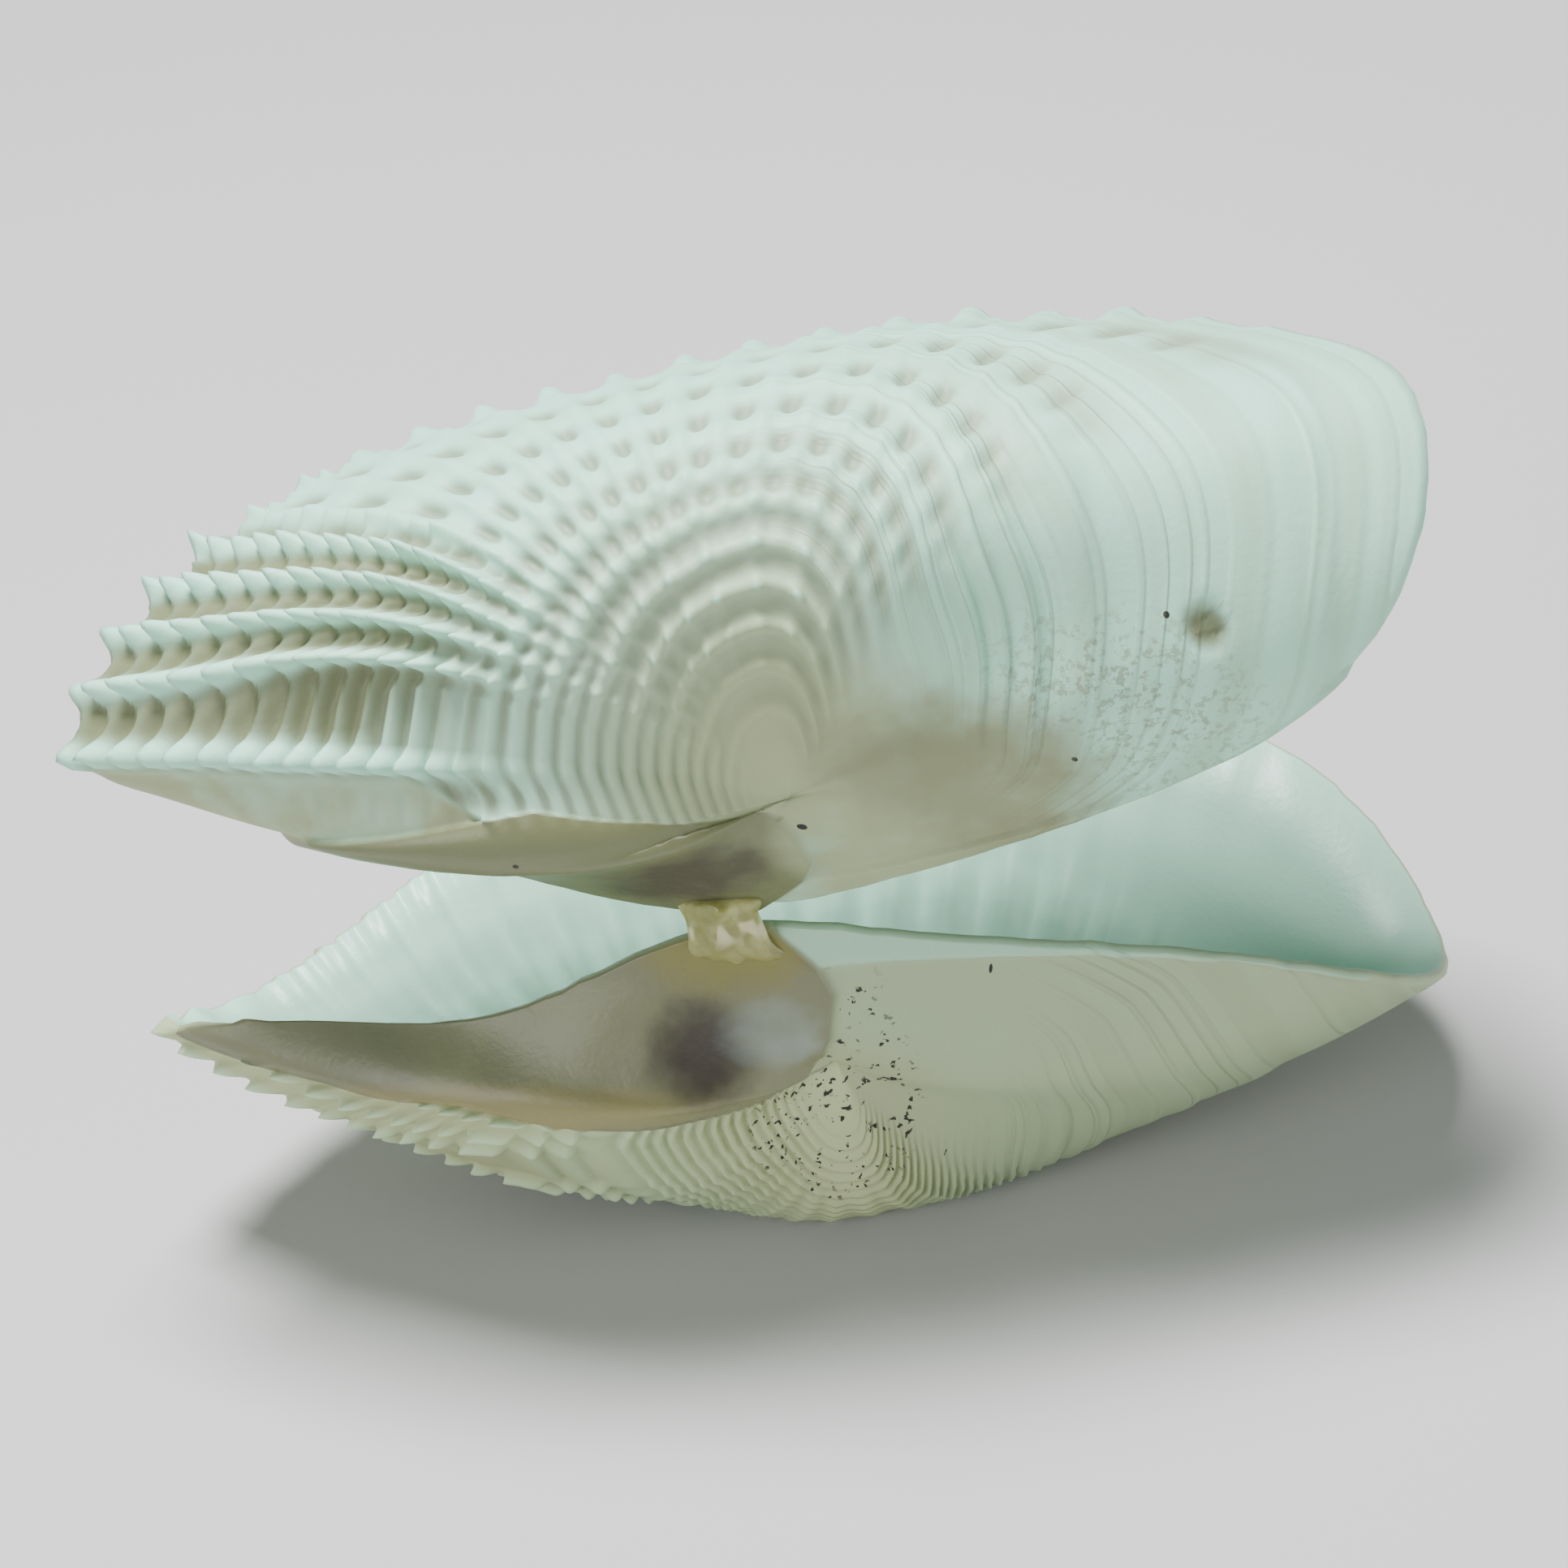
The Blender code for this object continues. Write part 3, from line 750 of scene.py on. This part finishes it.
class Nodes:
    """Short helpers for building one material's node tree."""

    def __init__(self, name):
        self.material = bpy.data.materials.new(name)
        self.material.use_nodes = True
        self.tree = self.material.node_tree
        self.shader = self.tree.nodes["Principled BSDF"]
        self.coords = self.tree.nodes.new("ShaderNodeTexCoord").outputs["Object"]

    def link(self, value, socket):
        """Sets a socket from a number, a colour or another socket."""
        if isinstance(value, bpy.types.NodeSocket):
            self.tree.links.new(value, socket)
        else:
            socket.default_value = value

    def read(self, name):
        """A float attribute of the mesh."""
        node = self.tree.nodes.new("ShaderNodeAttribute")
        node.attribute_name = name
        return node.outputs["Fac"]

    def math(self, operation, a, b=0.0):
        """One arithmetic step."""
        node = self.tree.nodes.new("ShaderNodeMath")
        node.operation = operation
        self.link(a, node.inputs[0])
        self.link(b, node.inputs[1])
        return node.outputs[0]

    def ramp(self, value, low, high, out_low=0.0, out_high=1.0):
        """Smooth change from out_low to out_high while value goes from low to high."""
        node = self.tree.nodes.new("ShaderNodeMapRange")
        node.interpolation_type = "SMOOTHSTEP"
        self.link(value, node.inputs["Value"])
        node.inputs["From Min"].default_value = low
        node.inputs["From Max"].default_value = high
        node.inputs["To Min"].default_value = out_low
        node.inputs["To Max"].default_value = out_high
        return node.outputs["Result"]

    def mix(self, share, a, b):
        """Mixes two colours by share."""
        node = self.tree.nodes.new("ShaderNodeMix")
        node.data_type = "RGBA"
        self.link(share, node.inputs[0])
        self.link(a, node.inputs[6])
        self.link(b, node.inputs[7])
        return node.outputs[2]

    def noise(self, size_mm, detail=3.0, rough=0.55, vector=None):
        """Noise in object space, or along another vector, with features about size_mm across."""
        node = self.tree.nodes.new("ShaderNodeTexNoise")
        self.link(self.coords if vector is None else vector, node.inputs["Vector"])
        node.inputs["Scale"].default_value = 1.0 / (size_mm * MM) if vector is None else 1.0 / size_mm
        node.inputs["Detail"].default_value = detail
        node.inputs["Roughness"].default_value = rough
        return node.outputs["Fac"]

    def combine(self, x):
        """Vector along x from one value."""
        node = self.tree.nodes.new("ShaderNodeCombineXYZ")
        self.link(x, node.inputs[0])
        return node.outputs[0]

    def blob(self, centre, size, blur=0.0):
        """Soft spot, 1 in its middle, at side, across and out coordinates, mm; None leaves one out."""
        total = self.math("MULTIPLY", self.math("SUBTRACT", self.noise(1.6, 2.0), 0.5), blur)
        for name, middle, width in zip(("side", "across", "out"), centre, size):
            if width is None:
                continue
            part = self.math("DIVIDE", self.math("SUBTRACT", self.read(name), middle), width)
            part = self.math("MULTIPLY", part, part)
            total = self.math("ADD", total, part)
        return self.ramp(total, 0.0, 1.0, 1.0, 0.0)

    def tint(self, colour, paint, *shares):
        """Paints over a colour by the product of some shares."""
        share = shares[0]
        for other in shares[1:]:
            share = self.math("MULTIPLY", share, other)
        return self.mix(share, colour, paint)

    def bump(self, height, distance, strength):
        """Bump from a height field."""
        node = self.tree.nodes.new("ShaderNodeBump")
        node.inputs["Strength"].default_value = strength
        node.inputs["Distance"].default_value = distance
        self.link(height, node.inputs["Height"])
        return node.outputs["Normal"]

    def scatter(self, share, distances):
        """Light spreading under the surface: its share, and distances for red, green and blue, metres."""
        self.shader.inputs["Subsurface Weight"].default_value = share
        self.shader.inputs["Subsurface Radius"].default_value = distances
        self.shader.inputs["Subsurface Scale"].default_value = 1.0


# Base colours, linear, before the light
PALE = (0.40, 0.72, 0.58, 1.0)
MINT = (0.38, 0.69, 0.53, 1.0)
BEIGE = (0.33, 0.37, 0.21, 1.0)
TAN = (0.21, 0.22, 0.115, 1.0)
OLIVE = (0.145, 0.16, 0.075, 1.0)
# Tan of the hinge plates: their own colour, kept dark partly as painted shade for the upper plate
PLATE_TAN = (0.165, 0.17, 0.10, 1.0)
YELLOW = (0.22, 0.20, 0.06, 1.0)
OCHRE = (0.25, 0.22, 0.085, 1.0)
DARK = (0.045, 0.036, 0.030, 1.0)
GLOW = (0.30, 0.37, 0.36, 1.0)
# Grey-green: painted shade in the pits, and the colour of the scraped patch on the upper valve
SCRAPE_AND_PIT_SHADE = (0.24, 0.29, 0.20, 1.0)
# Cream of the painted shade on the lower valve's ribbed part
LOWER_SHADE_CREAM = (0.50, 0.54, 0.29, 1.0)
INSIDE = (0.46, 0.74, 0.60, 1.0)
INSIDE_DIM = (0.36, 0.60, 0.49, 1.0)
SPECK = (0.012, 0.010, 0.008, 1.0)
CHALKY_ROUGHNESS = 0.55
POLISHED_ROUGHNESS = 0.36
TISSUE_DEEP = (0.22, 0.225, 0.07, 1.0)
TISSUE_LIGHT = (0.38, 0.39, 0.16, 1.0)
TISSUE_PLEAT_HIGHLIGHT = (0.62, 0.60, 0.38, 1.0)
FLOOR = (0.46, 0.47, 0.46, 1.0)
SKY = (0.86, 0.92, 0.90, 1.0)

# Spots, mm in the valve's frame: the middle at side, across and out, half sizes that way, and blur
PLATE_YELLOW = ((0.0, None, 0.6), (4.5, None, 2.6), 0.6)
LOWER_OCHRE = ((-9.0, None, 7.2), (10.0, None, 1.3), 0.6)
LOWER_DARK = ((-1.2, None, 5.0), (2.7, None, 2.8), 0.9)
LOWER_GLEAM = ((1.3, None, 4.4), (2.4, None, 1.8), 1.4)
# Dark spot of painted shade on the upper plate, which faces down
UPPER_PLATE_SHADE = ((-0.8, None, 3.8), (4.4, None, 3.3), 1.2)
UPPER_BEIGE = ((4.6, None, 4.6), (2.6, None, 4.0), 0.5)
PLATE_SPECK = ((-6.4, None, 7.6), (0.16, None, 0.16))
STAIN_ROUND = ((8.0, 1.2, None), (9.5, 5.0, None), 0.8)
STAIN = ((10.0, 3.1, None), (6.5, 2.3, None), 0.7)
SCRAPED = ((16.0, 5.5, None), (6.5, 3.2, None), 0.8)
PIT_STAIN = ((*PIT_PLACE, None), (1.0, 1.0, None), 0.9)
BEAK_FLECKS = ((3.2, 3.0, None), (4.2, 3.0, None))

# Black specks, mm in the valve's frame: side, across, and half sizes that way
UPPER_SPECKS = ((17.6, 7.9, 0.16, 0.16), (14.0, 3.5, 0.16, 0.06), (3.8, 1.4, 0.26, 0.08))
LOWER_SPECKS = ((9.8, 1.8, 0.10, 0.05), (7.1, 5.5, 0.10, 0.05), (5.4, 5.2, 0.10, 0.05))


def speck(n, colour, centre, size):
    """Paints one black speck over a colour."""
    return n.tint(colour, SPECK, n.ramp(n.blob(centre, size), 0.3, 0.6))


def plate_colour(n, lower, cloud):
    """Tan hinge plate, olive towards the tissue, with a dark spot and, below, a bluish gleam beside it. On
    the upper valve the plate faces down into shade: its olive and its dark spot are painted shade, as is
    part of the tan's darkness.
    """
    colour = n.mix(n.ramp(cloud, 0.35, 0.65, 0.0, 0.6), PLATE_TAN, TAN)
    colour = n.tint(colour, YELLOW, n.blob(*PLATE_YELLOW), 0.9)
    if lower:
        colour = n.tint(colour, OCHRE, n.blob(*LOWER_OCHRE), 0.85)
        colour = n.tint(colour, DARK, n.blob(*LOWER_DARK), 0.95)
        return n.tint(colour, GLOW, n.blob(*LOWER_GLEAM), n.ramp(cloud, 0.4, 0.6, 0.30, 0.65))
    # Upper plate: olive and a dark spot painted on as shade, since this plate faces down into shade
    colour = n.tint(colour, OLIVE, n.ramp(n.read("growth"), 0.30, 0.80, 0.75, 1.0))
    colour = n.tint(colour, DARK, n.blob(*UPPER_PLATE_SHADE), 0.80)
    colour = n.tint(colour, BEIGE, n.blob(*UPPER_BEIGE), 0.8)
    return speck(n, colour, *PLATE_SPECK)


def upper_marks(n, colour, cloud):
    """Beige front lobe, stain behind the beak, scraped patch, worn pit and specks of the upper valve."""
    scraped = n.ramp(n.noise(0.4, 5.0, 0.7), 0.50, 0.60)
    lobe = n.ramp(n.read("side"), -4.0, -9.0)
    bare = n.math("MULTIPLY", lobe, n.math("SUBTRACT", 1.0, n.read("ribbed")))
    colour = n.tint(colour, BEIGE, bare, n.ramp(cloud, 0.35, 0.55, 0.55, 1.0))
    colour = n.tint(colour, TAN, bare, n.ramp(cloud, 0.45, 0.65, 0.0, 0.35))
    colour = n.tint(colour, BEIGE, n.blob(*STAIN_ROUND), 0.95)
    colour = n.tint(colour, TAN, n.blob(*STAIN), n.ramp(cloud, 0.3, 0.6, 0.6, 0.9))
    colour = n.tint(colour, SCRAPE_AND_PIT_SHADE, n.blob(*SCRAPED), scraped, 0.75)
    colour = n.tint(colour, OLIVE, n.blob(*PIT_STAIN), 0.95)
    for x, v, width, height in UPPER_SPECKS:
        colour = speck(n, colour, (x, v, None), (width, height, None))
    return colour


def lower_shade_and_marks(n, colour, height, smooth):
    """Beige and cream painted shade over the lower valve, which lies in shade; pale hind ledge and black
    specks about the beak.
    """
    # Painted shade: the lower valve is tinted beige, cream on its ribbed part, because it lies in shade
    colour = n.tint(colour, n.mix(smooth, LOWER_SHADE_CREAM, BEIGE), n.ramp(smooth, 0.0, 1.0, 0.65, 0.85))
    colour = n.tint(colour, MINT, n.read("ledge"), 0.55)
    beak = n.blob(*BEAK_FLECKS)
    flecks = n.ramp(n.noise(0.30, 2.0, 0.5), 0.61, 0.63)
    flecks = n.math("MULTIPLY", flecks, n.ramp(n.noise(1.5, 2.0), 0.43, 0.50))
    for x, v, width, tall in LOWER_SPECKS:
        colour = speck(n, colour, (x, v, None), (width, tall, None))
    return n.tint(colour, SPECK, flecks, n.ramp(beak, 0.05, 0.4), n.ramp(height, 0.42, 0.22))


def shell_material(name, lower):
    """Chalky shell: crests near the beak with a painted highlight, furrows and pits darkened as painted
    shade, beige towards the beak, plates stained and, on the upper valve, darkened as painted shade, fine
    growth lines in the bump.
    """
    n = Nodes(name)
    growth = n.read("growth")
    height = n.read("height")
    plate = n.read("plate")
    inside = n.read("inside")
    smooth = n.math("SUBTRACT", 1.0, n.read("ribbed"))
    lined = n.read("lined")
    cloud = n.noise(6.0, 4.0)
    grain = n.noise(0.35, 4.0, 0.6)
    along = n.combine(n.read("age"))
    lines = n.noise(0.024, 2.0, 0.5, along)
    crossing = n.math("ABSOLUTE", n.math("SUBTRACT", n.noise(0.060, 2.0, 0.6, along), 0.5))
    halts = n.ramp(crossing, 0.0, 0.034, 1.0, 0.0)
    colour = n.mix(n.ramp(cloud, 0.35, 0.65), PALE, MINT)
    colour = n.tint(colour, BEIGE, n.ramp(growth, 0.62, 0.12), 0.95)
    # Pits and open furrows tinted grey-green: painted shade in the hollows, stronger on the upper valve
    deep = n.ramp(n.read("pit"), 0.08, 0.80)
    colour = n.tint(colour, SCRAPE_AND_PIT_SHADE, deep, n.ramp(growth, 0.15, 0.50, 0.40, 1.0), 0.50 if lower else 0.85)
    # Painted highlight: crests and beads near the beak are painted pale
    colour = n.tint(colour, PALE, n.ramp(height, 0.38, 0.48), n.ramp(growth, 0.60, 0.40), 0.6)
    colour = n.tint(colour, OLIVE, n.ramp(height, 0.60, 0.06), n.read("front"), 0.92)
    if lower:
        colour = lower_shade_and_marks(n, colour, height, smooth)
    else:
        colour = upper_marks(n, colour, cloud)
    colour = n.tint(colour, BEIGE, n.ramp(lines, 0.45, 0.62), lined, 0.15)
    colour = n.tint(colour, TAN, halts, lined, 0.10 if lower else 0.15)
    colour = n.mix(plate, colour, plate_colour(n, lower, cloud))
    bands = n.ramp(n.noise(0.10, 2.0, 0.5, along), 0.42, 0.58)
    beyond_beak = n.math("MULTIPLY", inside, n.ramp(growth, 0.12, 0.35))
    colour = n.mix(beyond_beak, colour, n.mix(bands, INSIDE, INSIDE_DIM))
    n.link(colour, n.shader.inputs["Base Color"])
    gloss = n.math("MAXIMUM", inside, plate)
    rough = n.ramp(gloss, 0.0, 1.0, CHALKY_ROUGHNESS, POLISHED_ROUGHNESS)
    n.link(rough, n.shader.inputs["Roughness"])
    bare = n.math("MAXIMUM", n.math("SUBTRACT", lined, gloss), 0.0)
    grooves = n.math("MULTIPLY", n.math("SUBTRACT", lines, halts), bare)
    relief = n.math("ADD", n.math("MULTIPLY", grain, 0.4), grooves)
    n.link(n.bump(relief, 0.00007, 0.8), n.shader.inputs["Normal"])
    n.scatter(0.15, (0.0005, 0.0006, 0.0004))
    n.shader.inputs["Specular IOR Level"].default_value = 0.4
    return n.material


def make_ligament():
    """Dried neck of tissue: an upright ellipse tube through the gap, waisted, flaring over both plates.

    Along it, width and depth are a waist plus a flare growing with the square of the distance from it.
    """
    down = np.linspace(-1.0, 1.0, TISSUE_ROWS)
    turn = np.linspace(0.0, 2.0 * math.pi, TISSUE_COLUMNS, endpoint=False)
    d, t = np.meshgrid(down, turn, indexing="ij")
    close = np.sqrt(np.clip(1.0 - np.abs(d) ** TISSUE_CLOSING, TISSUE_TIP, 1.0))
    above = np.maximum(0.0, -d)
    below = np.maximum(0.0, d)
    flare_above, flare_below = TISSUE_WIDTH_FLARES
    wide = (TISSUE_WIDTH + flare_above * above ** 2 + flare_below * below ** 2) * close
    deep = (TISSUE_DEPTH + TISSUE_DEPTH_FLARE * d ** 2 - TISSUE_DEPTH_LOSS * below) * close
    lean_above, lean_below = TISSUE_LEANS
    ahead = TISSUE_AHEAD + TISSUE_LEAN * d + lean_above * above + lean_below * below
    ahead = ahead + TISSUE_FOOT * below ** 5
    middle = (upper_frame(np.zeros(3)) + lower_frame(np.zeros(3))) / 2.0
    tall = np.where(d < 0.0, TISSUE_ABOVE, TISSUE_BELOW)
    sideways = TISSUE_SIDEWAYS * below ** 2
    points = np.stack((np.cos(t) * wide + sideways, np.sin(t) * deep + ahead, -d * tall), -1)
    folds = np.zeros_like(d)
    for height, round_it, along_it, shift in PLEATS:
        folds += height * np.sin(round_it * t + along_it * d + shift)
    folds += FOLD_HEIGHT * soft_noise(points * FOLD_STRETCH, FOLD_LENGTH, FOLD_SEED)
    outward = np.stack((np.cos(t), np.sin(t), np.zeros_like(t)), -1)
    points = points + outward * (folds * FOLD_RELIEF * close)[..., None] + middle
    attributes = {"growth": d, "fold": folds}
    return grid_mesh("ligament_tissue", points, points[0].mean(0), points[-1].mean(0), True, attributes)


def ligament_material():
    """Dried, waxy olive tissue, glossier on its pleats and painted paler there about the waist as a
    highlight, yellow where it meets the lower plate.
    """
    n = Nodes("dried_tissue")
    cloud = n.noise(1.4, 3.0)
    pleat = n.ramp(n.read("fold"), 0.08, 0.24)
    waist = n.ramp(n.math("ABSOLUTE", n.math("ADD", n.read("growth"), 0.15)), 0.15, 0.6, 1.0, 0.0)
    colour = n.mix(n.ramp(cloud, 0.35, 0.65), TISSUE_DEEP, TISSUE_LIGHT)
    # Painted highlight: pleats about the waist are painted paler
    colour = n.tint(colour, TISSUE_PLEAT_HIGHLIGHT, pleat, waist, 0.7)
    colour = n.tint(colour, YELLOW, n.ramp(n.read("growth"), 0.15, 0.75), 0.85)
    n.link(colour, n.shader.inputs["Base Color"])
    n.link(n.ramp(pleat, 0.0, 1.0, 0.40, 0.16), n.shader.inputs["Roughness"])
    n.link(n.bump(n.noise(0.5, 3.0), 0.00010, 0.6), n.shader.inputs["Normal"])
    n.scatter(0.45, (0.0014, 0.0011, 0.0004))
    return n.material


def make_stage():
    """Plain pale floor, far larger than the shell."""
    size = 2.0
    corners = [(-size, -size, 0), (size, -size, 0), (size, size, 0), (-size, size, 0)]
    mesh = bpy.data.meshes.new("floor")
    mesh.from_pydata(corners, [], [(0, 1, 2, 3)])
    floor = bpy.data.objects.new("floor", mesh)
    bpy.context.scene.collection.objects.link(floor)
    n = Nodes("floor_paint")
    n.shader.inputs["Base Color"].default_value = FLOOR
    n.shader.inputs["Roughness"].default_value = 0.9
    mesh.materials.append(n.material)


def add_light(name, place, size, watts):
    """Soft square light at a place, turned to the shell."""
    data = bpy.data.lights.new(name, "AREA")
    data.size = size
    data.energy = watts
    light = bpy.data.objects.new(name, data)
    light.location = place
    light.rotation_euler = (Vector(LIT_POINT) - Vector(place)).to_track_quat("-Z", "Y").to_euler()
    bpy.context.scene.collection.objects.link(light)


def make_lights():
    """Key from above, fill from the camera's left, weak low light from the right, and a pale sky."""
    for light in LIGHTS:
        add_light(*light)
    world = bpy.data.worlds.new("studio")
    world.use_nodes = True
    background = world.node_tree.nodes["Background"]
    background.inputs["Color"].default_value = SKY
    background.inputs["Strength"].default_value = SKY_STRENGTH
    bpy.context.scene.world = world


def make_camera():
    """Camera whose view of the hinge line matches the photograph's elevation, yaw, roll and distance."""
    ce, se = math.cos(VIEW_ELEVATION), math.sin(VIEW_ELEVATION)
    cr, sr = math.cos(VIEW_ROLL), math.sin(VIEW_ROLL)
    cy, sy = math.cos(VIEW_YAW), math.sin(VIEW_YAW)
    elevation = np.array(((1, 0, 0), (0, se, ce), (0, ce, -se)))
    roll = np.array(((cr, -sr, 0), (sr, cr, 0), (0, 0, 1)))
    yaw = np.array(((cy, 0, sy), (0, 1, 0), (-sy, 0, cy)))
    axes = roll @ yaw @ elevation
    hinge = np.array((HINGE_SHIFT[0], HINGE_SHIFT[1], HINGE_HEIGHT)) * MM
    offset = np.array((HINGE_IN_VIEW[0], HINGE_IN_VIEW[1], VIEW_DISTANCE)) * MM
    place = hinge - axes.T @ offset
    data = bpy.data.cameras.new("camera")
    data.sensor_width = SENSOR
    data.sensor_fit = "HORIZONTAL"
    data.lens = SENSOR * VIEW_SCALE * VIEW_DISTANCE / PHOTO_WIDTH
    data.clip_start = 0.001
    camera = bpy.data.objects.new("camera", data)
    right, up, away = axes
    basis = Matrix((right, up, -away)).transposed().to_4x4()
    basis.translation = Vector(place)
    camera.matrix_world = basis
    bpy.context.scene.collection.objects.link(camera)
    bpy.context.scene.camera = camera


def dress(piece, node, material):
    """Gives a piece its material and lets it stand for its node."""
    piece.data.materials.append(material)
    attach(piece, "root")
    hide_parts(node)


make_camera()
make_stage()
make_lights()
dress(make_valve(LOWER), LOWER.node, shell_material("lower_shell", True))
dress(make_valve(UPPER), UPPER.node, shell_material("upper_shell", False))
dress(make_ligament(), "ligament", ligament_material())
